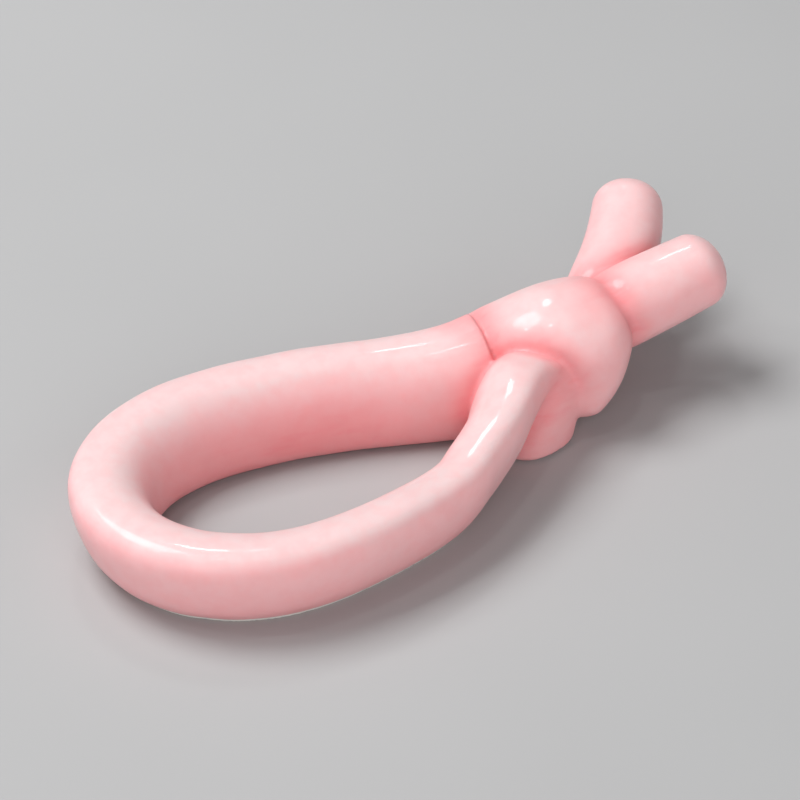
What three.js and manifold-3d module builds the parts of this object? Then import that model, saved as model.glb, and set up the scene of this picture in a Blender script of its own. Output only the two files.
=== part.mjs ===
// A chopstick rest of glazed porcelain, moulded in the shape of a cord tied in an overhand knot:
// a teardrop loop that lies flat, the knot, and two short tails that rise from it.
// Millimetres. +X runs from the loop to the tails, +Y is the back tail's side and +Z is up.
// The rest is one fired piece. It is modelled as the stretches that its creases mark out,
// each a closed solid with a small gap to its neighbours.

import * as THREE from 'three';
import { mergeVertices } from 'three/addons/utils/BufferGeometryUtils.js';
import Module from 'manifold-3d';

// ---- Driving dimensions -------------------------------------------------------------------

const GAP = 0.3; // between neighbouring solids
const FOOT_HEIGHT = 0.6; // unglazed foot, from the table up

const LOOP_LENGTH = 56.9; // centreline, from the loop's round end to where its strands would meet
const LOOP_WIDTH = 25; // between the two strands' centrelines, at the widest place
const LOOP_TAPER = 1.7; // exponent: the higher it is, the longer and slimmer the neck
const LOOP_BEND = 1.4; // the round end lies this much to the back
const BEND_SKEW = 0.5; // more so on its front side
const CORD_WIDTH = 7;
const ROUND_END_SWELL = 1.1; // the cord is this much wider at the round end
const FRONT_SLIMMING = 0.9; // and this much narrower where the front strand nears the knot
const CORD_HEIGHT = 10.1; // before its underside is cut flat
const CORD_TOP = 9.8; // above the table
const CORD_LEAN = 0.26; // outward lean of the loop's wall, mm per mm of height
const CORD_SQUARENESS = 2.6; // superellipse exponent of the section, 2 is an ellipse

// Places along the loop, in turns from where its strands would meet.
const CORD_START = 0.105; // buried in the knot
const TONGUE_START = 0.156; // where the back strand ends on top of the knot, as a blunt tongue
const SLIM_START = 0.62;
const CORD_LEAVES = 0.76; // where the front strand leaves the teardrop to climb over the back one

const BURIED_SINK = 1.2; // the back strand's buried start lies this much lower
const TONGUE_LENGTH = 0.112; // stretch over which the tongue rises, turns and widens, in turns
const TONGUE_RISE = 1.9;
const TONGUE_SWERVE = 1.2; // to the back
const TONGUE_SPREAD = 1.8;
const TONGUE_DOME = 0.9; // rounding of its end
const TONGUE_DIVE = 0.06; // share of all three by which its far end sinks into the cord

const BAND_SQUARENESS = 2.3;
const BAND_DOME = 4.5; // length of the rounded shoulder where it turns down
const TAIL_SQUARENESS = 2.1;
const TAIL_DOME = 2.9; // length of the rounded end of a tail
const HIDDEN_DOME = 2.5; // rounding of an end that is buried in the knot

const SECTION_POINTS = 24; // around a section
const DOME_RINGS = 5; // along a rounded end
const LOOP_STATIONS = 18; // places where the loop's formula is evaluated
const TONGUE_STATIONS = 6; // and again where its end lies on the knot

// ---- Centrelines --------------------------------------------------------------------------
// A station is [x, y, z, width, height]: the centre of the section and its size.

// The loop is a teardrop: x = half length * cos t, y = width factor * sin t * sin(t / 2) ^ taper.
const loopCentreX = -9.45;
const loopHalfLength = LOOP_LENGTH / 2;
const sineAtWidest = Math.sqrt((1 + LOOP_TAPER) / (2 + LOOP_TAPER)); // sin(t / 2) there
const widestFactor = 2 * Math.sqrt(1 - sineAtWidest ** 2) * sineAtWidest ** (1 + LOOP_TAPER);
const loopWidthFactor = LOOP_WIDTH / 2 / widestFactor;

// A place on the teardrop, with the cord's top raised by `rise`.
function loopStation(turn, rise = 0) {
  const t = 2 * Math.PI * turn;
  const roundness = Math.sin(t / 2) ** 6; // 1 at the round end, 0 at the knot
  const x = loopCentreX + loopHalfLength * Math.cos(t);
  const y = loopWidthFactor * Math.sin(t) * Math.sin(t / 2) ** LOOP_TAPER
    + LOOP_BEND * roundness * (1 - BEND_SKEW * Math.sin(t));
  const slimming = FRONT_SLIMMING * Math.max(turn - SLIM_START, 0) / (CORD_LEAVES - SLIM_START);
  const width = CORD_WIDTH + ROUND_END_SWELL * roundness - slimming;
  return [x, y, CORD_TOP - (CORD_HEIGHT - rise) / 2, width, CORD_HEIGHT + rise];
}

function cordStation(turn) {
  const buried = Math.max(TONGUE_START - turn, 0) / (TONGUE_START - CORD_START);
  return loopStation(turn, -BURIED_SINK * buried);
}

function tongueStation(turn) {
  const growth = Math.max(1 - (turn - TONGUE_START) / TONGUE_LENGTH, 0) ** 2.5 - TONGUE_DIVE;
  const [x, y, z, width, height] = loopStation(turn, TONGUE_RISE * growth);
  return [x, y + TONGUE_SWERVE * growth ** 2, z, width + TONGUE_SPREAD * growth, height];
}

function spread(from, to, count, station) {
  return Array.from({ length: count }, (_, i) =>
    station(THREE.MathUtils.lerp(from, to, i / (count - 1))));
}

// The cord starts under the knot, follows the formula as the back strand, round the end and
// along the front strand, and then leaves it to climb over its own start.
const cord = [
  ...spread(CORD_START, CORD_LEAVES, LOOP_STATIONS, cordStation),
  [-3.7, -7.2, 5.2, 6.2, 10.3],
  [0.5, -4.5, 6.1, 6.4, 10],
  [4.2, -1.2, 6.9, 7, 9.6],
  [7.1, 0.6, 6.6, 7.6, 8.4],
  [10.2, 1.7, 5.6, 7.6, 7.4],
  [13.4, 3, 5.6, 6.8, 7],
];

// The visible end of the back strand, which lies on the knot.
const tongue = spread(TONGUE_START, TONGUE_START + TONGUE_LENGTH, TONGUE_STATIONS, tongueStation);

// The band comes up behind the back strand and passes over the crossing.
const bandTop = [
  [2.2, 9.6, 3, 5.6, 6.8],
  [4.9, 8.8, 5.8, 6.9, 7.1],
  [8.1, 6.7, 8, 8.4, 7.1],
  [11.7, 4.1, 9.5, 10.6, 8.3],
  [16.2, 2.6, 9.1, 11.4, 9],
  [20, 1.9, 7.8, 9.4, 8.4],
];

// In front of the crossing the band turns down, as a lobe that stops short of the table.
const bandLobe = [
  [14.8, 2, 10.3, 8.4, 7.4],
  [14.5, 1.1, 5.8, 9.2, 8.2],
  [11.4, 0.6, 1.8, 8, 6.2],
];

// The back strand shows again below the front one, as a turn that stands on the table.
const underTurn = [
  [9.8, 0.6, 9, 7, 6.8],
  [8.8, 0.1, 5, 8, 7.6],
  [7.4, 0.3, -1.5, 9, 8.4],
];

const backTail = [
  [13, 4, 6.8, 7.6, 7.4],
  [18.6, 6, 7.5, 8.3, 8.2],
  [22.6, 9, 8.8, 8.3, 8.1],
  [26.6, 12.7, 10.6, 8, 7.7],
  [30.4, 17.8, 12.6, 7, 6.9],
];

const frontTail = [
  [14, 3, 7.6, 8, 8],
  [20, 3.8, 9.1, 8.5, 8.6],
  [26, 3, 10.8, 8.2, 8.2],
  [31.9, 2.4, 12.5, 7.5, 7.5],
];

// ---- Solids -------------------------------------------------------------------------------

const UP = new THREE.Vector3(0, 0, 1);
const BAND_ACROSS = new THREE.Vector3(0.6, 0.78, 0.15); // width direction of the turning band
const TURN_ACROSS = new THREE.Vector3(1, 0.2, 0);

const wasm = await Module();
wasm.setup();

function toSolid(geometry) {
  geometry.deleteAttribute('normal');
  geometry.deleteAttribute('uv');
  const merged = mergeVertices(geometry);
  return new wasm.Manifold(new wasm.Mesh({
    numProp: 3,
    vertProperties: new Float32Array(merged.attributes.position.array),
    triVerts: new Uint32Array(merged.index.array),
  }));
}

function toGeometry(solid) {
  const { vertProperties, triVerts } = solid.getMesh();
  const geometry = new THREE.BufferGeometry();
  geometry.setAttribute('position', new THREE.BufferAttribute(vertProperties, 3));
  geometry.setIndex(new THREE.BufferAttribute(triVerts, 1));
  geometry.computeVertexNormals();
  return geometry;
}

// Cutting leaves slivers inside the knot, so only the main body of each stretch is kept.
function mainBody(solid) {
  return solid.decompose().reduce((a, b) => (a.volume() > b.volume() ? a : b));
}

// How full the section is at a place along the strand: 1 in the middle, less in a rounded end.
function fullness(distance, domeLength) {
  const inside = domeLength > 0 ? Math.min(distance / domeLength, 1) : 1;
  return Math.max(Math.sqrt(1 - (1 - inside) ** 2), 0.12);
}

// Where the rings of the section go, from 0 to 1 along the strand: evenly, and closer in the domes.
function ringPlaces(length, startDome, endDome, bodyRings) {
  const domePlaces = Array.from({ length: DOME_RINGS }, (_, i) =>
    1 - Math.cos((i / DOME_RINGS) * Math.PI / 2));
  const start = startDome > 0 ? domePlaces.map((d) => d * startDome) : [];
  const end = endDome > 0 ? domePlaces.map((d) => length - d * endDome).reverse() : [];
  const body = Array.from({ length: bodyRings + 1 }, (_, i) =>
    THREE.MathUtils.lerp(startDome, length - endDome, i / bodyRings));
  return [...start, ...body, ...end].map((place) => place / length);
}

// A cylinder bent along the stations. Its section is a superellipse that keeps UP, or that keeps
// its width along `across` where the strand turns over. `stretch` picks a part of the length.
function bendStrand(stations, options) {
  const { squareness, across, lean = 0, startDome = 0, endDome = 0, bodyRings, grow = 0 } = options;
  const [from, to] = options.stretch ?? [0, 1];
  const centre = new THREE.CatmullRomCurve3(
    stations.map(([x, y, z]) => new THREE.Vector3(x, y, z)), false, 'catmullrom', 0.5);
  const size = new THREE.CatmullRomCurve3(
    stations.map(([, , , width, height]) => new THREE.Vector3(width, height, 0)),
    false, 'catmullrom', 0.5);
  const length = centre.getLength();
  const places = ringPlaces(length, startDome, endDome, bodyRings)
    .filter((place) => place >= from && place <= to);
  const rounded = (value) => Math.sign(value) * Math.abs(value) ** (2 / squareness);

  const geometry = new THREE.CylinderGeometry(1, 1, 1, SECTION_POINTS, places.length - 1);
  const position = geometry.attributes.position;
  for (let i = 0; i < position.count; i++) {
    const ring = Math.round((position.getY(i) + 0.5) * (places.length - 1));
    const t = centre.getUtoTmapping(places[ring]);
    const along = centre.getTangent(t);
    const sideways = across
      ? across.clone().addScaledVector(along, -across.dot(along)).normalize()
      : along.clone().cross(UP).normalize();
    const upwards = sideways.clone().cross(along);
    const { x: width, y: height } = size.getPoint(t);
    const full = fullness(places[ring] * length, startDome)
      * fullness((1 - places[ring]) * length, endDome);
    const b = rounded(position.getZ(i)) * (height / 2 + grow) * full;
    const a = rounded(position.getX(i)) * (width / 2 + grow) * full + lean * b;
    const point = centre.getPoint(t).addScaledVector(sideways, a).addScaledVector(upwards, b);
    position.setXYZ(i, point.x, point.y, point.z);
  }
  return toSolid(geometry);
}

const cordOptions = {
  squareness: CORD_SQUARENESS,
  lean: CORD_LEAN,
  startDome: HIDDEN_DOME,
  endDome: HIDDEN_DOME,
  bodyRings: 64,
};
const tongueOptions = {
  squareness: CORD_SQUARENESS,
  lean: CORD_LEAN,
  startDome: TONGUE_DOME,
  bodyRings: 12,
};
const bandOptions = {
  squareness: BAND_SQUARENESS,
  across: BAND_ACROSS,
  startDome: HIDDEN_DOME,
  endDome: HIDDEN_DOME,
  bodyRings: 8,
};
const turnOptions = { squareness: 2.4, across: TURN_ACROSS, startDome: HIDDEN_DOME, bodyRings: 6 };
const tailOptions = { squareness: TAIL_SQUARENESS, endDome: TAIL_DOME, bodyRings: 10 };

// The cord runs into itself where it crosses, so it is made in two halves that share a section.
function loopSolid(grow) {
  const back = bendStrand(cord, { ...cordOptions, stretch: [0, 0.5], grow });
  const front = bendStrand(cord, { ...cordOptions, stretch: [0.5, 1], grow });
  return back.add(front).add(bendStrand(tongue, { ...tongueOptions, grow }));
}

function bandSolid(grow) {
  const top = bendStrand(bandTop, { ...bandOptions, endDome: BAND_DOME, grow });
  return top.add(bendStrand(bandLobe, { ...bandOptions, grow }));
}

// A slab over the whole plan, between two heights.
function slab(low, high) {
  const geometry = new THREE.BoxGeometry(200, 200, high - low);
  geometry.translate(0, 0, (low + high) / 2);
  return toSolid(geometry);
}

const loopWhole = loopSolid(0);
const bandWhole = bandSolid(0);
const turnWhole = bendStrand(underTurn, turnOptions);
const bandAndGap = bandSolid(GAP);
const frontTailAndGap = bendStrand(frontTail, { ...tailOptions, grow: GAP });
const belowGlaze = slab(-20, FOOT_HEIGHT + GAP);

const solids = {
  loop: loopWhole.subtract(bandAndGap),
  wrap_band: bandWhole,
  under_turn: turnWhole.subtract(bandAndGap).subtract(loopSolid(GAP)),
  back_tail: bendStrand(backTail, tailOptions).subtract(bandAndGap).subtract(frontTailAndGap),
  front_tail: bendStrand(frontTail, tailOptions).subtract(bandAndGap),
};
for (const name of Object.keys(solids)) solids[name] = mainBody(solids[name].subtract(belowGlaze));
solids.bare_foot = mainBody(
  loopWhole.add(turnWhole).add(bandWhole).intersect(slab(0, FOOT_HEIGHT)));

// ---- The part -----------------------------------------------------------------------------

const PINK_GLAZE = { color: 0xf0a8ac, roughness: 0.12, metalness: 0 };
const BARE_PORCELAIN = { color: 0xf2efe9, roughness: 0.75, metalness: 0 };

const rest = new THREE.Group();
for (const [name, solid] of Object.entries(solids)) {
  const finish = name === 'bare_foot' ? BARE_PORCELAIN : PINK_GLAZE;
  const mesh = new THREE.Mesh(toGeometry(solid), new THREE.MeshStandardMaterial(finish));
  mesh.name = name;
  rest.add(mesh);
}

// The origin is under the middle of the whole rest, at table height.
const middle = new THREE.Box3().setFromObject(rest).getCenter(new THREE.Vector3());
rest.position.set(-middle.x, -middle.y, 0);

const part = new THREE.Group();
part.add(rest);

export default part;
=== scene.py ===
"""The looks of a glazed porcelain chopstick rest, moulded in the shape of a knotted cord.

The rest is one fired piece, so its skin is one closed surface: the stretches of cord are blended
with a crease at each meeting, and the result is meshed in quads. Shapes are worked out in
millimetres in the knot's own frame, where the cord's stations are given, and then moved to where
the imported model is, in metres.
"""

import math

import bpy
import numpy as np
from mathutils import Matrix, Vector


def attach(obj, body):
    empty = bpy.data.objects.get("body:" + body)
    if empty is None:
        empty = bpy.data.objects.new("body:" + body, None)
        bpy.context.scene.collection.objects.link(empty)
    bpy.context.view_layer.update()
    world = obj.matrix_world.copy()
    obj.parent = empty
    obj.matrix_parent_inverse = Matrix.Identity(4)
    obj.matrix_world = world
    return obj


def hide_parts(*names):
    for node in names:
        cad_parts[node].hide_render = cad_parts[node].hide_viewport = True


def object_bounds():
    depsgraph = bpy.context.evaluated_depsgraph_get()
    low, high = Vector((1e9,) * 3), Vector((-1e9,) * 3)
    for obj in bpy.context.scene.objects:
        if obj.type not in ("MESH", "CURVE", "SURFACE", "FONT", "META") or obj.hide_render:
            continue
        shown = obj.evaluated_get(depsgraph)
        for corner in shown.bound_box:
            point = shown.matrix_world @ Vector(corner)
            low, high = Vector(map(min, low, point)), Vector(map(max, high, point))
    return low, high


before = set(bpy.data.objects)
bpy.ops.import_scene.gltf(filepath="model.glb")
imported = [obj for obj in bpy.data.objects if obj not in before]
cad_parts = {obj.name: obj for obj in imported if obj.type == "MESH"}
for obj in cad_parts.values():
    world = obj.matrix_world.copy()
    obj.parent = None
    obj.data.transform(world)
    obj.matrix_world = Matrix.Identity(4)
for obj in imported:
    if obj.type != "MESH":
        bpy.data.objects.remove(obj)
cad_low, cad_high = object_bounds()

MM = 0.001

# ---- Driving dimensions, in millimetres ----------------------------------------------------------

LOOP_LENGTH = 56.9  # centreline, from the round end to where the strands would meet
LOOP_WIDTH = 25.0  # between the two strands' centrelines, at the widest place
LOOP_TAPER = 1.7  # exponent: the higher it is, the longer and slimmer the neck
LOOP_CENTRE_X = -9.45
CORD_WIDTH = 7.0
CORD_HEIGHT = 10.1  # before its underside is cut flat
CORD_TOP = 9.8  # above the table
CORD_LEAN = 0.26  # outward lean of the loop's wall
CORD_SQUARENESS = 2.6  # superellipse exponent of the section, 2 is an ellipse
CORD_START, CORD_LEAVES = 0.105, 0.76  # where it follows the teardrop, in turns
CORD_STATIONS = 18  # along the teardrop
LOOP_BEND = 1.4  # the round end lies this much to the back
BEND_SKEW = 0.5  # more so on its front side
ROUND_END_SWELL = 1.1  # the cord is this much wider at the round end
ROUND_END_POWER = 6  # the higher it is, the shorter the stretch that bends and swells
FRONT_SLIMMING = 0.9  # the front strand narrows towards the knot
SLIM_START = 0.62  # from here on, in turns
BURIED_SINK = 1.2  # the back strand's buried start lies this much lower

TONGUE_START = 0.156  # where the back strand stops on the knot, as a blunt tongue, in turns
TONGUE_LENGTH = 0.112  # how far along the cord it grows out, in turns
TONGUE_STATIONS = 6
TONGUE_RISE = 1.9  # at its tip it is this much taller
TONGUE_SWERVE = 1.2  # lies this much to the back
TONGUE_SPREAD = 1.8  # and is this much wider
TONGUE_POWER = 2.5  # the higher it is, the nearer to the tip all three begin
TONGUE_DIVE = 0.06  # share of all three by which its far end sinks into the cord
TONGUE_DOME = 0.9  # rounding of its tip

BAND_SQUARENESS = 2.3
TURN_SQUARENESS = 2.4
TAIL_SQUARENESS = 2.1
HIDDEN_DOME = 2.5  # rounding of an end that is buried in the knot
BAND_DOME = 4.5
TAIL_DOME = 2.9

CREASE_BLEND = 0.7  # how far two stretches flow into each other where they meet
CREASE_DEPTH = 0.25  # groove along the meeting
CREASE_WIDTH = 0.8
CROSSING_X, CROSSING_REACH = -8.0, 6.0  # the two strands begin to blend here, over this length
LEAST_BLEND = 0.001  # share of the blend that is left elsewhere, so that it is never zero
BAND_BLEND = 3.0  # the band's top runs smoothly into its lobe
TURN_BLEND = 2.0  # the lobe runs softly into the turn below it
TURN_CREASE = 0.3  # groove between the lobe and the turn
TURN_CREASE_WIDTH = 1.0
LONG_WAVE, SHORT_WAVE = 0.05, 0.025  # heights of the skin's unevenness
INSET = 0.05  # keeps these waves inside the solids' box

CREASE_REDNESS = 0.7  # how thick and red the glaze is in a crease, from 0 to 1
POOL_WIDTH = 1.7  # reach of that glaze beside the crease
FOOT_REDNESS = 0.4  # redder and darker towards the foot
FOOT_REDNESS_HEIGHT = 6.0  # from here down
SHADE_PATCH_REDNESS = 0.6  # painted shade and painted pink reflected light, a broad patch on the back strand's inner wall
SHADE_PATCH_CENTRE = (-17.5, 6.2, 3.2)
SHADE_PATCH_REACH = (10.0, 4.0, 3.6)
PAINTED_SHEEN_FROM, PAINTED_SHEEN_OVER = 0.25, 0.6  # painted sheen: paler where the surface faces up by at least this much, over this range
PAINTED_SHEEN_POWER = 1.2
TAIL_SHEEN_CUT = 0.35  # the painted sheen is weaker on the tails, by this share
TAIL_X, TAIL_REACH = 14.0, 6.0  # from this x on, over this length
WALL_PAINTED_LIGHT = 0.8  # painted light: strength of a pale patch on the back strand's inner wall beside the knot
WALL_LIGHT_CENTRE = (-4.0, 2.0, 6.0)
WALL_LIGHT_REACH = (5.0, 2.5, 5.0)

GLAZE_EDGE = 0.26  # height where the glaze stops above the table
GLAZE_EDGE_ROUND = 0.3
FOOT_INSET = 0.18  # the bare foot stands back from the glaze
DEEP_INSET = 0.5  # and further back under the knot and the back strand
DEEP_FROM = (0.0, 1.0)  # from this x or this y on
DEEP_OVER = 4.0  # growing over this length
FOOT_TOP = 0.55  # hidden inside the skin
FOOT_ROUND = 0.12

SKIN_CELL = 0.3  # size of the skin's quads
FOOT_CELL = 0.22
GRID_SHIFT = (0.1, 0.0, 0.05)  # keeps the grid's corners off the creases' narrowest places

# ---- The cord's stations: x, y, z, width, height -------------------------------------------------

CROSSING = [
    (-3.7, -7.2, 5.2, 6.2, 10.3),
    (0.5, -4.5, 6.1, 6.4, 10.0),
    (4.2, -1.2, 6.9, 7.0, 9.6),
    (7.1, 0.6, 6.6, 7.6, 8.4),
    (10.2, 1.7, 5.6, 7.6, 7.4),
    (13.4, 3.0, 5.6, 6.8, 7.0),
]
BAND_TOP = [
    (2.2, 9.6, 3.0, 5.6, 6.8),
    (4.9, 8.8, 5.8, 6.9, 7.1),
    (8.1, 6.7, 8.0, 8.4, 7.1),
    (11.7, 4.1, 9.5, 10.6, 8.3),
    (16.2, 2.6, 9.1, 11.4, 9.0),
    (20.0, 1.9, 7.8, 9.4, 8.4),
]
BAND_LOBE = [
    (14.8, 2.0, 10.3, 8.4, 7.4),
    (14.5, 1.1, 5.8, 9.2, 8.2),
    (11.4, 0.6, 1.8, 8.0, 6.2),
]
UNDER_TURN = [
    (9.8, 0.6, 9.0, 7.0, 6.8),
    (8.8, 0.1, 5.0, 8.0, 7.6),
    (7.4, 0.3, -1.5, 9.0, 8.4),
]
BACK_TAIL = [
    (13.0, 4.0, 6.8, 7.6, 7.4),
    (18.6, 6.0, 7.5, 8.3, 8.2),
    (22.6, 9.0, 8.8, 8.3, 8.1),
    (26.6, 12.7, 10.6, 8.0, 7.7),
    (30.4, 17.8, 12.6, 7.0, 6.9),
]
FRONT_TAIL = [
    (14.0, 3.0, 7.6, 8.0, 8.0),
    (20.0, 3.8, 9.1, 8.5, 8.6),
    (26.0, 3.0, 10.8, 8.2, 8.2),
    (31.9, 2.4, 12.5, 7.5, 7.5),
]
BAND_ACROSS = (0.6, 0.78, 0.15)  # width direction of the turning band
TURN_ACROSS = (1.0, 0.2, 0.0)


def loop_station(turn, rise=0.0):
    """A place on the loop's teardrop, with the cord's top raised.

    The teardrop is x = half length * cos t, y = width factor * sin t * sin(t / 2) ^ taper.
    """
    t = 2 * math.pi * turn
    sine_at_widest = math.sqrt((1 + LOOP_TAPER) / (2 + LOOP_TAPER))
    widest = 2 * math.sqrt(1 - sine_at_widest**2) * sine_at_widest ** (1 + LOOP_TAPER)
    roundness = math.sin(t / 2) ** ROUND_END_POWER
    x = LOOP_CENTRE_X + LOOP_LENGTH / 2 * math.cos(t)
    y = LOOP_WIDTH / 2 / widest * math.sin(t) * math.sin(t / 2) ** LOOP_TAPER
    y += LOOP_BEND * roundness * (1 - BEND_SKEW * math.sin(t))
    slimming = FRONT_SLIMMING * max(turn - SLIM_START, 0) / (CORD_LEAVES - SLIM_START)
    width = CORD_WIDTH + ROUND_END_SWELL * roundness - slimming
    return (x, y, CORD_TOP - (CORD_HEIGHT - rise) / 2, width, CORD_HEIGHT + rise)


def cord_station(turn):
    """The cord proper, which sinks where the knot hides it."""
    buried = max(TONGUE_START - turn, 0) / (TONGUE_START - CORD_START)
    return loop_station(turn, -BURIED_SINK * buried)


def tongue_station(turn):
    """The blunt end of the back strand, which grows out of the cord towards the knot."""
    growth = max(1 - (turn - TONGUE_START) / TONGUE_LENGTH, 0) ** TONGUE_POWER - TONGUE_DIVE
    x, y, z, width, height = loop_station(turn, TONGUE_RISE * growth)
    return (x, y + TONGUE_SWERVE * growth**2, z, width + TONGUE_SPREAD * growth, height)


cord_turns = np.linspace(CORD_START, CORD_LEAVES, CORD_STATIONS)
tongue_turns = TONGUE_START + TONGUE_LENGTH * np.linspace(0, 1, TONGUE_STATIONS)
CORD = [cord_station(turn) for turn in cord_turns] + CROSSING
TONGUE = [tongue_station(turn) for turn in tongue_turns]

# ---- Strands as distance fields ------------------------------------------------------------------


def catmull_rom(stations, places):
    """The stations' values, and their slopes, at places from 0 to 1."""
    stations = np.array(stations, float)
    spans = len(stations) - 1
    along = np.clip(places, 0, 1) * spans
    span = np.minimum(along.astype(int), spans - 1)
    f = (along - span)[:, None]
    before, after = 2 * stations[0] - stations[1], 2 * stations[-1] - stations[-2]
    padded = np.vstack([before, stations, after])
    p0, p1, p2, p3 = (padded[span + k] for k in range(4))
    m1, m2 = (p2 - p0) / 2, (p3 - p1) / 2
    cubic = 2 * p1 - 2 * p2 + m1 + m2
    square = -3 * p1 + 3 * p2 - 2 * m1 - m2
    return ((cubic * f + square) * f + m1) * f + p1, (3 * cubic * f + 2 * square) * f + m1


def unit(vectors):
    return vectors / np.linalg.norm(vectors, axis=1)[:, None]


class Strand:
    """A bent rod with a superellipse for its section, as a distance field.

    Its stretch is the part of the stations' path that it covers, as shares of the whole, and its
    domes are the lengths over which its two ends are rounded.
    """

    STEP = 0.35  # between samples of the centreline
    FINE_SAMPLES = 3000  # of the path, to measure its length
    CHUNK = 20000  # points looked at in one go
    BULGE = 1.3  # no section reaches farther out than this many half widths
    MARGIN = 3.0  # the distance is worked out this far from the strand
    FAR = 9.0  # and is this value beyond
    LEAST_SLOPE = 0.06  # keeps the distance finite on the centreline
    TIGHTEST = 0.35  # share of the spacing that is left inside a bend
    LONGEST_STEP = 1.5  # samples moved along in one round
    ROUNDS = 3

    def __init__(self, stations, squareness, across=None, lean=0.0, domes=(0, 0), stretch=(0, 1)):
        fine = np.linspace(0, 1, self.FINE_SAMPLES)
        fine_points = catmull_rom(stations, fine)[0][:, :3]
        arc = np.append(0, np.cumsum(np.linalg.norm(np.diff(fine_points, axis=0), axis=1)))
        self.length = arc[-1]
        self.squareness, self.lean, self.domes = squareness, lean, domes
        count = round((stretch[1] - stretch[0]) * self.length / self.STEP) + 1
        self.along = np.linspace(*(np.array(stretch) * self.length), count)
        values, slopes = catmull_rom(stations, np.interp(self.along, arc, fine))
        self.centre, self.half = values[:, :3], values[:, 3:] / 2
        self.tangent = unit(slopes[:, :3])
        if across is None:
            sideways = np.cross(self.tangent, (0, 0, 1))
        else:
            sideways = np.array(across) - (self.tangent @ across)[:, None] * self.tangent
        self.sideways = unit(sideways)
        self.upwards = np.cross(self.sideways, self.tangent)
        self.is_cut = (stretch[0] > 0, stretch[1] < 1)

    def reach(self, margin):
        """The box that holds the strand and a margin round it."""
        radius = self.half.max(1)[:, None] * self.BULGE + margin
        return (self.centre - radius).min(0), (self.centre + radius).max(0)

    def nearest(self, points):
        """The centreline sample nearest each point."""
        found = np.empty(len(points), int)
        squares = (self.centre**2).sum(1)
        for start in range(0, len(points), self.CHUNK):
            part = slice(start, start + self.CHUNK)
            found[part] = np.argmin(squares - 2 * points[part] @ self.centre.T, 1)
        return found

    def at(self, place, *tables):
        """The tables' values at a place counted in samples."""
        low = np.minimum(place.astype(int), len(self.centre) - 2)
        f = (place - low)[:, None]
        return [table[low] * (1 - f) + table[low + 1] * f for table in tables]

    def foot_of(self, points):
        """The place, counted in samples, whose section holds each point."""
        last = len(self.centre) - 1
        spacing = self.along[1] - self.along[0]
        turning = np.vstack([np.diff(self.tangent, axis=0), [[0, 0, 0]]]) / spacing
        place = self.nearest(points).astype(float)
        for _ in range(self.ROUNDS):
            centre, tangent, bend = self.at(place, self.centre, self.tangent, turning)
            offset = points - centre
            crowding = np.maximum(1 - (offset * bend).sum(1), self.TIGHTEST)
            ahead = (offset * tangent).sum(1) / crowding
            move = np.clip(ahead / spacing, -self.LONGEST_STEP, self.LONGEST_STEP)
            place = np.clip(place + move, 0, last)
        return place

    def dome_terms(self, along):
        """How far into a rounded end each place is, and the slope of that."""
        start, end = self.domes
        into = np.zeros(len(along))
        slope = np.zeros(len(along))
        for length, distance in ((start, along), (end, self.length - along)):
            if length > 0:
                deep = 1 - distance / length
                slope = np.where(deep > into, 1 / length, slope)
                into = np.maximum(into, deep)
        return into, slope

    def past_the_ends(self, place, ahead):
        """How far each point lies beyond an end that is cut off square."""
        start_is_square = self.is_cut[0] or self.domes[0] == 0
        end_is_square = self.is_cut[1] or self.domes[1] == 0
        past_start = np.where((place <= 0) & start_is_square, -ahead, 0)
        past_end = np.where((place >= len(self.centre) - 1) & end_is_square, ahead, 0)
        return np.maximum(np.maximum(past_start, past_end), 0)

    def distance(self, points):
        """About the distance to the strand's surface, negative inside."""
        place = self.foot_of(points)
        axes = (self.sideways, self.upwards, self.tangent)
        centre, half, along, *axes = self.at(
            place, self.centre, self.half, self.along[:, None], *axes
        )
        offset = points - centre
        a, b, ahead = ((offset * axis).sum(1) for axis in axes)
        width, height = half.T
        e = self.squareness
        u, v = (a - self.lean * b) / width, b / height
        power = np.maximum(np.abs(u) ** e + np.abs(v) ** e, 1e-9)
        radius = power ** (1 / e)
        slope_u = power ** (1 / e - 1) * np.abs(u) ** (e - 1) * np.sign(u) / width
        slope_v = power ** (1 / e - 1) * np.abs(v) ** (e - 1) * np.sign(v) / height
        into, into_slope = self.dome_terms(along[:, 0] + ahead)
        whole = np.sqrt(radius**2 + into**2)
        slope = np.sqrt(
            (radius * slope_u) ** 2
            + (radius * (slope_v - self.lean * slope_u)) ** 2
            + (into * into_slope) ** 2
        ) / np.maximum(whole, 1e-6)
        value = (whole - 1) / np.maximum(slope, self.LEAST_SLOPE)
        past = self.past_the_ends(place, ahead)
        return np.where(past > 0, np.maximum(value, 0) + past, value)

    def __call__(self, points):
        """The distance near the strand, and a large value elsewhere."""
        low, high = self.reach(self.MARGIN)
        near = ((points > low) & (points < high)).all(1)
        value = np.full(len(points), self.FAR)
        if near.any():
            value[near] = np.minimum(self.distance(points[near]), self.FAR)
        return value


def smooth_min(a, b, blend):
    overlap = np.maximum(blend - np.abs(a - b), 0) / blend
    return np.minimum(a, b) - overlap**2 * blend / 4


def smooth_max(a, b, blend):
    return -smooth_min(-a, -b, blend)


def creased(a, b, blend, depth, width):
    """Both shapes, blended, with a groove along their meeting."""
    return smooth_min(a, b, blend) + depth * np.exp(-(((a - b) / width) ** 2))


def cord_strand(stations, domes, stretch=(0, 1)):
    return Strand(stations, CORD_SQUARENESS, lean=CORD_LEAN, domes=domes, stretch=stretch)


def band_strand(stations, end_dome):
    domes = (HIDDEN_DOME, end_dome)
    return Strand(stations, BAND_SQUARENESS, across=BAND_ACROSS, domes=domes)


# The cord's back half and front half overlap at the round end.
BACK_STRETCH, FRONT_STRETCH = (0, 0.55), (0.45, 1)

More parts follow.
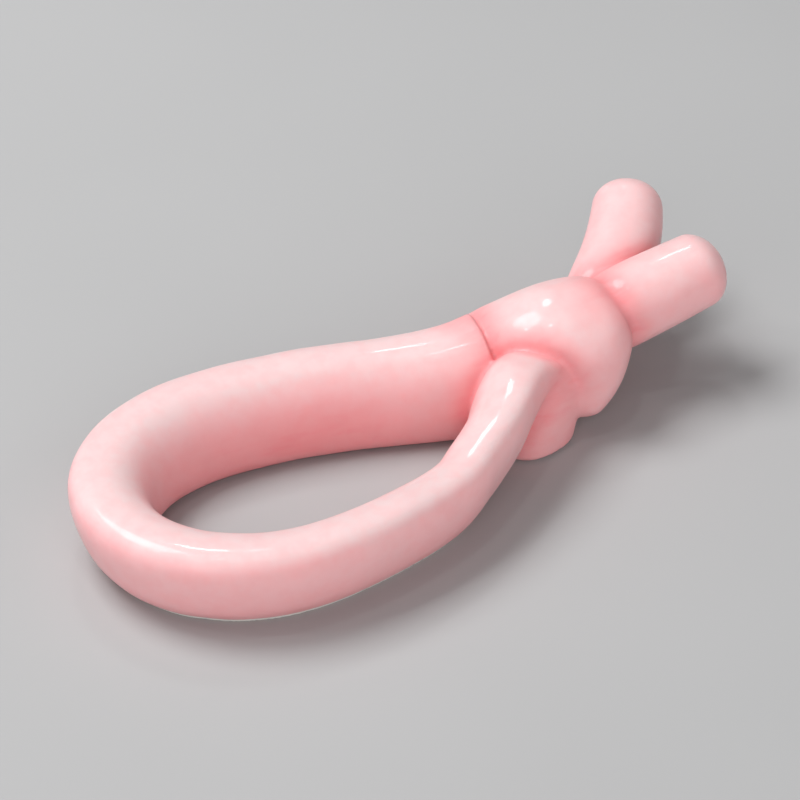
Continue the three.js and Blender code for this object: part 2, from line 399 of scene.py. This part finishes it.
hidden_domes = (HIDDEN_DOME, HIDDEN_DOME)
strands = {
    "back": cord_strand(CORD, hidden_domes, stretch=BACK_STRETCH),
    "front": cord_strand(CORD, hidden_domes, stretch=FRONT_STRETCH),
    "tongue": cord_strand(TONGUE, (TONGUE_DOME, 0)),
    "turn": Strand(UNDER_TURN, TURN_SQUARENESS, across=TURN_ACROSS, domes=(HIDDEN_DOME, 0)),
    "back_tail": Strand(BACK_TAIL, TAIL_SQUARENESS, domes=(0, TAIL_DOME)),
    "front_tail": Strand(FRONT_TAIL, TAIL_SQUARENESS, domes=(0, TAIL_DOME)),
    "band_top": band_strand(BAND_TOP, BAND_DOME),
    "band_lobe": band_strand(BAND_LOBE, HIDDEN_DOME),
}


def waves(points):
    """The slight unevenness of a hand-finished mould: two crossed waves of unlike lengths."""
    x, y, z = points.T
    long_wave = np.sin(0.31 * x + 0.9) * np.sin(0.37 * y + 0.23 * z + 0.4)
    short_wave = np.sin(0.83 * x - 0.41 * y + 1.7) * np.sin(0.61 * z + 0.57 * y + 0.2)
    return LONG_WAVE * long_wave + SHORT_WAVE * short_wave


def meeting(a, b):
    """How near each point is to the line where two shapes meet, from 0 to 1."""
    unequal = (a - b) / POOL_WIDTH
    outside = np.maximum(np.minimum(a, b), 0) / POOL_WIDTH
    return np.exp(-(unequal**2) - outside**2)


def knot(points):
    """The distance to the whole knotted cord, and how near to a crease each point is."""
    value = {name: strand(points) for name, strand in strands.items()}
    # The cord's two halves share a stretch at the round end, so they blend only at the crossing.
    into_crossing = (points[:, 0] - CROSSING_X) / CROSSING_REACH
    crossing_blend = CREASE_BLEND * np.clip(into_crossing, LEAST_BLEND, 1)
    back = np.minimum(value["back"], value["tongue"])
    whole = smooth_min(back, value["front"], crossing_blend)
    crease = meeting(back, value["front"]) * (into_crossing > 0)
    band = smooth_min(value["band_top"], value["band_lobe"], BAND_BLEND)
    band = creased(band, value["turn"], TURN_BLEND, TURN_CREASE, TURN_CREASE_WIDTH)
    for other in (value["back_tail"], value["front_tail"], band):
        crease = np.maximum(crease, meeting(whole, other))
        whole = creased(whole, other, CREASE_BLEND, CREASE_DEPTH, CREASE_WIDTH)
    return whole + waves(points) + INSET, crease


def skin_field(points):
    return smooth_max(knot(points)[0], GLAZE_EDGE - points[:, 2], GLAZE_EDGE_ROUND)


def foot_field(points):
    """The foot has upright sides: it keeps the knot's section at its own top."""
    z = points[:, 2]
    lifted = np.column_stack([points[:, :2], np.maximum(z, FOOT_TOP)])
    slab = np.maximum(z - FOOT_TOP, -z)
    past = np.clip((points[:, :2] - DEEP_FROM) / DEEP_OVER, 0, 1).max(1)
    inset = FOOT_INSET + DEEP_INSET * past
    return smooth_max(knot(lifted)[0] + inset, slab, FOOT_ROUND)


# ---- Meshing -------------------------------------------------------------------------------------

COARSE = 4  # the field is first read at every fourth grid point
NEAR = 1.5  # and then at each one within this many coarse cells of the surface
CORNERS = [(i, j, k) for i in (0, 1) for j in (0, 1) for k in (0, 1)]
EDGES = [(a, b) for a in CORNERS for b in CORNERS if a < b and math.dist(a, b) == 1]
SETTLE_ROUNDS = 2
SLOPE_STEP = 0.02  # between the places where a slope is read
LEAST_STEEPNESS = 0.2


def grid_points(axes):
    return np.stack(np.meshgrid(*axes, indexing="ij"), -1).reshape(-1, 3)


def read_grid(field, axes, cell):
    """The field on a grid, exact near the surface and rough elsewhere."""
    coarse_axes = [line[::COARSE] for line in axes]
    coarse = field(grid_points(coarse_axes)).reshape([len(line) for line in coarse_axes])
    to_coarse = [
        np.minimum(np.round(np.arange(len(line)) / COARSE).astype(int), len(short) - 1)
        for line, short in zip(axes, coarse_axes)
    ]
    values = coarse[np.ix_(*to_coarse)].ravel()
    near = np.abs(values) < COARSE * cell * NEAR
    values[near] = field(grid_points(axes)[near])
    return values.reshape([len(line) for line in axes])


def surface_nets(field, low, high, cell):
    """Points and quads of the field's zero surface: one point in each grid cell that it crosses."""
    axes = [np.arange(low[k], high[k] + cell, cell) for k in range(3)]
    values = read_grid(field, axes, cell)
    shape = np.array(values.shape) - 1

    def corner_values(corner):
        i, j, k = corner
        return values[i : i + shape[0], j : j + shape[1], k : k + shape[2]]

    inside_count = sum((corner_values(corner) < 0).astype(int) for corner in CORNERS)
    active = (inside_count > 0) & (inside_count < 8)
    cells = np.argwhere(active)
    number = np.full(shape, -1)
    number[active] = np.arange(len(cells))

    total = np.zeros((len(cells), 3))
    crossings = np.zeros(len(cells))
    for start, end in EDGES:
        a, b = corner_values(start)[active], corner_values(end)[active]
        crossed = (a < 0) != (b < 0)
        share = np.where(crossed, a / np.where(crossed, a - b, 1), 0)
        place = np.array(start) + share[:, None] * (np.array(end) - start)
        total += crossed[:, None] * place
        crossings += crossed
    points = np.array([line[0] for line in axes]) + cell * (cells + total / crossings[:, None])

    quads = []
    inside = values < 0
    step = np.eye(3, dtype=int)
    for axis in range(3):
        ahead = np.roll(inside, -1, axis)
        changed = np.argwhere(inside != ahead)
        starts_inside = inside[tuple(changed.T)]
        u, v = step[(axis + 1) % 3], step[(axis + 2) % 3]
        ring = [number[tuple((changed - shift).T)] for shift in (0 * u, u, u + v, v)]
        faces = np.stack(ring, 1)
        quads.append(np.where(starts_inside[:, None], faces, faces[:, ::-1]))
    return points, np.vstack(quads)


def gradient(field, points):
    steps = SLOPE_STEP * np.eye(3)
    changes = [field(points + step) - field(points - step) for step in steps]
    return np.stack(changes, 1) / (2 * SLOPE_STEP)


def settle(field, points, cell):
    """Moves the points onto the field's zero surface."""
    for _ in range(SETTLE_ROUNDS):
        slope = gradient(field, points)
        steepness = np.maximum((slope**2).sum(1), LEAST_STEEPNESS)
        move = np.clip(field(points) / steepness, -cell, cell)
        points = points - move[:, None] * slope
    return points


def mesh_of(field, cell, low, high):
    start = np.array(low) - 2 * cell - GRID_SHIFT
    points, quads = surface_nets(field, start, np.array(high) + 2 * cell, cell)
    return settle(field, points, cell), quads


def whole_reach(margin=0.5):
    """The box that holds every strand and a margin, above the table."""
    reaches = [strand.reach(margin) for strand in strands.values()]
    low = np.min([reach[0] for reach in reaches], axis=0)
    high = np.max([reach[1] for reach in reaches], axis=0)
    low[2] = 0
    return low, high


low, high = whole_reach()
skin_points, skin_quads = mesh_of(skin_field, SKIN_CELL, low, high)
foot_points, foot_quads = mesh_of(foot_field, FOOT_CELL, low, (high[0], high[1], FOOT_TOP))
foot_points[:, 2] = np.maximum(foot_points[:, 2], 0)

# The knot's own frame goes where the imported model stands, by the middles of their boxes.
skin_middle = (skin_points.min(0) + skin_points.max(0)) / 2
cad_middle = np.array((cad_low + cad_high) / 2) / MM
to_part = np.array([*(cad_middle - skin_middle)[:2], 0])


def in_part(points):
    """Millimetres in the knot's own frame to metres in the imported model's."""
    return (np.array(points) + to_part) * MM


def put(name, data):
    """Adds an object with the data to the scene."""
    thing = bpy.data.objects.new(name, data)
    bpy.context.scene.collection.objects.link(thing)
    return thing


def add_piece(name, points, quads, material):
    mesh = bpy.data.meshes.new(name)
    mesh.from_pydata(in_part(points).tolist(), [], quads.tolist())
    mesh.polygons.foreach_set("use_smooth", [True] * len(quads))
    mesh.materials.append(material)
    mesh.validate()
    return put(name, mesh)


def add_value(piece, name, values):
    """A number at each of the mesh's points, for the material to read."""
    layer = piece.data.attributes.new(name, "FLOAT", "POINT")
    layer.data.foreach_set("value", np.asarray(values, np.float32))


# ---- Materials -----------------------------------------------------------------------------------


class Material:
    """A Principled material and a short way to add nodes to it."""

    def __init__(self, name):
        self.material = bpy.data.materials.new(name)
        self.material.use_nodes = True
        self.tree = self.material.node_tree
        self.shader = self.tree.nodes["Principled BSDF"]

    def node(self, kind, settings=None, **inputs):
        node = self.tree.nodes.new(kind)
        for key, value in (settings or {}).items():
            setattr(node, key, value)
        for key, value in inputs.items():
            self.feed(node.inputs[key], value)
        return node

    def feed(self, socket, value):
        if isinstance(value, bpy.types.NodeSocket):
            self.tree.links.new(value, socket)
        else:
            socket.default_value = value

    def set(self, values):
        for name, value in values.items():
            self.feed(self.shader.inputs[name], value)

    def place(self):
        return self.node("ShaderNodeTexCoord").outputs["Object"]

    def noise(self, size, detail=2.0, stretch=None):
        """Noise whose grains are about size millimetres, from 0 to 1."""
        where = self.place()
        if stretch:
            where = self.node("ShaderNodeMapping", Vector=where, Scale=stretch).outputs["Vector"]
        scale = 1 / (size * MM)
        texture = self.node("ShaderNodeTexNoise", Vector=where, Scale=scale, Detail=detail)
        return texture.outputs["Fac"]

    def between(self, value, from_low, from_high, to_low, to_high):
        """The value with one range carried to another, smoothly."""
        inputs = {
            "Value": value,
            "From Min": from_low,
            "From Max": from_high,
            "To Min": to_low,
            "To Max": to_high,
        }
        node = self.node("ShaderNodeMapRange", {"interpolation_type": "SMOOTHSTEP"}, **inputs)
        return node.outputs["Result"]

    def attribute(self, name):
        return self.node("ShaderNodeAttribute", {"attribute_name": name}).outputs["Fac"]

    def math(self, operation, a, b):
        node = self.node("ShaderNodeMath", {"operation": operation})
        self.feed(node.inputs[0], a)
        self.feed(node.inputs[1], b)
        return node.outputs[0]

    def mix(self, share, a, b):
        """Two colours mixed. Sockets 0, 6 and 7, and output 2, are the node's colour ones."""
        node = self.node("ShaderNodeMix", {"data_type": "RGBA"})
        for index, value in ((0, share), (6, a), (7, b)):
            self.feed(node.inputs[index], value)
        return node.outputs[2]

    def bump(self, height, depth, below=None):
        """A bump of the given depth in millimetres, on top of another one."""
        node = self.node("ShaderNodeBump", Height=height, Distance=depth * MM, Strength=1.0)
        if below:
            self.feed(node.inputs["Normal"], below)
        return node.outputs["Normal"]


PINK = (0.9, 0.485, 0.497, 1)
PALE_PINK = (0.78, 0.575, 0.577, 1)  # painted sheen and painted light, on up-facing tops and one wall
DEEP_PINK = (0.86, 0.24, 0.255, 1)  # in mottles, where glaze pools in creases, towards the foot, and in a painted shade patch
BODY_WHITE = (0.86, 0.83, 0.78, 1)
BODY_DUSTY = (0.70, 0.65, 0.58, 1)
FLOOR_DARK = (0.415, 0.415, 0.418, 1)
FLOOR_LIGHT = (0.425, 0.425, 0.428, 1)


def glaze_colour(m):
    """Pale where sheen and light are painted on, red where the glaze has pooled in creases, towards
    the foot and in a painted shade patch, with clouds and brush marks.
    """
    painted_lightness = m.attribute("painted_light")
    pooled_and_shaded = m.attribute("pooling_and_shade")
    clouds = m.between(m.noise(9.0, 3.0), 0.3, 0.7, -0.15, 0.15)
    mottle = m.between(m.noise(1.6, 3.0), 0.35, 0.7, 0.0, 0.12)
    brushing = m.between(m.noise(1.2, 3.0, stretch=(0.12, 1.0, 1.0)), 0.45, 0.75, 0.0, 0.35)
    # Painted sheen and painted light: paler pink where the surface faces up and on one wall.
    colour = m.mix(m.math("ADD", painted_lightness, clouds), PINK, PALE_PINK)
    colour = m.mix(mottle, colour, DEEP_PINK)
    # Redder where glaze pools in creases, towards the foot and in a painted shade patch.
    redness = m.math("MULTIPLY", pooled_and_shaded, m.math("ADD", brushing, 0.85))
    return m.mix(redness, colour, DEEP_PINK)


def pink_glaze():
    m = Material("pink_glaze")
    ripple = m.bump(m.noise(4.5, 2.0), 0.05)
    normal = m.bump(m.noise(1.3, 1.0), 0.012, ripple)
    m.set({
        "Base Color": glaze_colour(m),
        "Roughness": m.between(m.noise(3.0), 0.3, 0.7, 0.36, 0.46),
        "Specular IOR Level": 0.1,
        "Normal": normal,
        "Coat Normal": normal,
        "Subsurface Weight": 0.3,
        "Subsurface Radius": (1.0, 0.45, 0.4),
        "Subsurface Scale": 1.8 * MM,
        "Coat Weight": 0.3,
        "Coat Roughness": 0.1,
        "Coat IOR": 1.5,
    })
    return m.material


def bare_porcelain():
    m = Material("bare_porcelain")
    stain = m.between(m.noise(5.0, 4.0), 0.45, 0.75, 0.0, 0.5)
    grit = m.noise(0.25, 3.0)
    m.set({
        "Base Color": m.mix(stain, BODY_WHITE, BODY_DUSTY),
        "Roughness": m.between(grit, 0.3, 0.7, 0.65, 0.85),
        "Normal": m.bump(grit, 0.03),
        "Subsurface Weight": 0.15,
        "Subsurface Radius": (1.0, 0.9, 0.8),
        "Subsurface Scale": 0.6 * MM,
    })
    return m.material


def pale_floor():
    m = Material("pale_floor")
    tone = m.between(m.noise(60.0, 2.0), 0.3, 0.7, 0.0, 1.0)
    m.set({
        "Base Color": m.mix(tone, FLOOR_DARK, FLOOR_LIGHT),
        "Roughness": 0.85,
        "Specular IOR Level": 0.2,
    })
    return m.material


# ---- The pieces ----------------------------------------------------------------------------------


def patch(points, centre, reach):
    """A soft patch: 1 at its centre, fading out over its reach."""
    return np.exp(-(((points - centre) / reach) ** 2).sum(1))


def pooling_and_shade(points):
    """How red the glaze is, 0 to 1: pooled in creases, redder towards the foot, and a painted shade
    patch on the back strand's inner wall.
    """
    crease = CREASE_REDNESS * knot(points)[1]
    # Redder and darker towards the foot.
    towards_foot = FOOT_REDNESS * np.clip(1 - points[:, 2] / FOOT_REDNESS_HEIGHT, 0, 1)
    # Painted shade: a redder patch on the back strand's inner wall, where shade and reflected pink
    # light fall.
    shade_patch = SHADE_PATCH_REDNESS * patch(points, SHADE_PATCH_CENTRE, SHADE_PATCH_REACH)
    return 1 - (1 - crease) * (1 - towards_foot) * (1 - shade_patch)


def painted_light(points):
    """Painted light, 0 to 1: a paler painted sheen where the surface faces up, weaker on the tails,
    and a pale painted patch of light on one wall.
    """
    upwards = unit(gradient(skin_field, points))[:, 2]
    along_tail = np.clip((points[:, 0] - TAIL_X) / TAIL_REACH, 0, 1)
    # Painted sheen: paler where the surface faces up.
    top = np.clip((upwards - PAINTED_SHEEN_FROM) / PAINTED_SHEEN_OVER, 0, 1) ** PAINTED_SHEEN_POWER
    top *= 1 - TAIL_SHEEN_CUT * along_tail
    # Painted light: a pale patch on the back strand's inner wall beside the knot.
    return np.maximum(top, WALL_PAINTED_LIGHT * patch(points, WALL_LIGHT_CENTRE, WALL_LIGHT_REACH))


skin = add_piece("glazed_skin", skin_points, skin_quads, pink_glaze())
# The glaze's redness, with painted shade, and its painted sheen and light, per point.
pooled_and_shaded = pooling_and_shade(skin_points)
add_value(skin, "pooling_and_shade", pooled_and_shaded)
add_value(skin, "painted_light", painted_light(skin_points) * (1 - pooled_and_shaded))
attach(skin, "root")
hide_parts("loop", "wrap_band", "under_turn", "back_tail", "front_tail")

foot = add_piece("bare_foot_ring", foot_points, foot_quads, bare_porcelain())
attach(foot, "root")
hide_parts("bare_foot")

# ---- Floor, lights and camera --------------------------------------------------------------------

FLOOR_SIZE = 2.4  # metres
ROOM_LIGHT = 0.02
# Azimuth and elevation in degrees, distance and size in metres, and power in watts.
LIGHTS = {
    "key": (-37, 60, 0.6, 0.32, 2.85),
    "wide": (-30, 62, 0.6, 1.1, 1.1),
    "back_key": (20, 54, 0.6, 0.055, 0.24),
    "left_key": (-75, 55, 0.6, 0.055, 0.24),
    "top_key": (-110, 81, 0.6, 0.045, 0.16),
    "front": (205, 20, 0.7, 0.9, 3.2),
    "right": (140, 16, 0.7, 0.8, 1.6),
    "left": (-90, 14, 0.7, 0.7, 1.2),
}
CAMERA_AZIMUTH, CAMERA_ELEVATION = 210, 38
CAMERA_DISTANCE = 450  # millimetres, like the two offsets
CAMERA_LEFT, CAMERA_UP = 6.67, 6.20  # how far beside and above the frame's origin it is aimed
CAMERA_LENS, CAMERA_SENSOR = 199.3, 36

middle = Vector(in_part((0, 0, 0)))  # the origin of the knot's own frame


def direction(azimuth, elevation):
    """A unit vector: azimuth is from +Y towards +X, elevation above the table, in degrees."""
    a, e = math.radians(azimuth), math.radians(elevation)
    return Vector((math.sin(a) * math.cos(e), math.cos(a) * math.cos(e), math.sin(e)))


def look_back_along(thing, away):
    """Turns a light or a camera to look back from the direction in which it lies."""
    thing.rotation_mode = "QUATERNION"
    thing.rotation_quaternion = away.to_track_quat("Z", "Y")


def add_floor():
    half = FLOOR_SIZE / 2
    corners = [(-half, -half, 0), (half, -half, 0), (half, half, 0), (-half, half, 0)]
    mesh = bpy.data.meshes.new("floor")
    mesh.from_pydata(corners, [], [(0, 1, 2, 3)])
    mesh.materials.append(pale_floor())
    put("floor", mesh)


def add_light(name, azimuth, elevation, distance, size, power):
    data = bpy.data.lights.new(name, "AREA")
    data.shape = "DISK"
    data.size = size
    data.energy = power
    light = put(name, data)
    away = direction(azimuth, elevation)
    light.location = middle + away * distance
    look_back_along(light, away)


def add_surroundings():
    world = bpy.data.worlds.new("room")
    world.use_nodes = True
    background = world.node_tree.nodes["Background"]
    background.inputs["Color"].default_value = (1, 1, 1, 1)
    background.inputs["Strength"].default_value = ROOM_LIGHT
    bpy.context.scene.world = world


def add_camera():
    """A long lens from the round end's front side, aimed between the loop and the knot."""
    data = bpy.data.cameras.new("camera")
    data.sensor_width = CAMERA_SENSOR
    data.lens = CAMERA_LENS
    data.clip_start = 0.01
    camera = put("camera", data)
    away = direction(CAMERA_AZIMUTH, CAMERA_ELEVATION)
    right = Vector((0, 0, 1)).cross(away).normalized()
    up = away.cross(right)
    offset = away * CAMERA_DISTANCE - right * CAMERA_LEFT + up * CAMERA_UP
    camera.location = middle + offset * MM
    look_back_along(camera, away)
    bpy.context.scene.camera = camera


add_floor()
add_surroundings()
for name, values in LIGHTS.items():
    add_light(name, *values)
add_camera()
bpy.context.scene.view_settings.view_transform = "Standard"
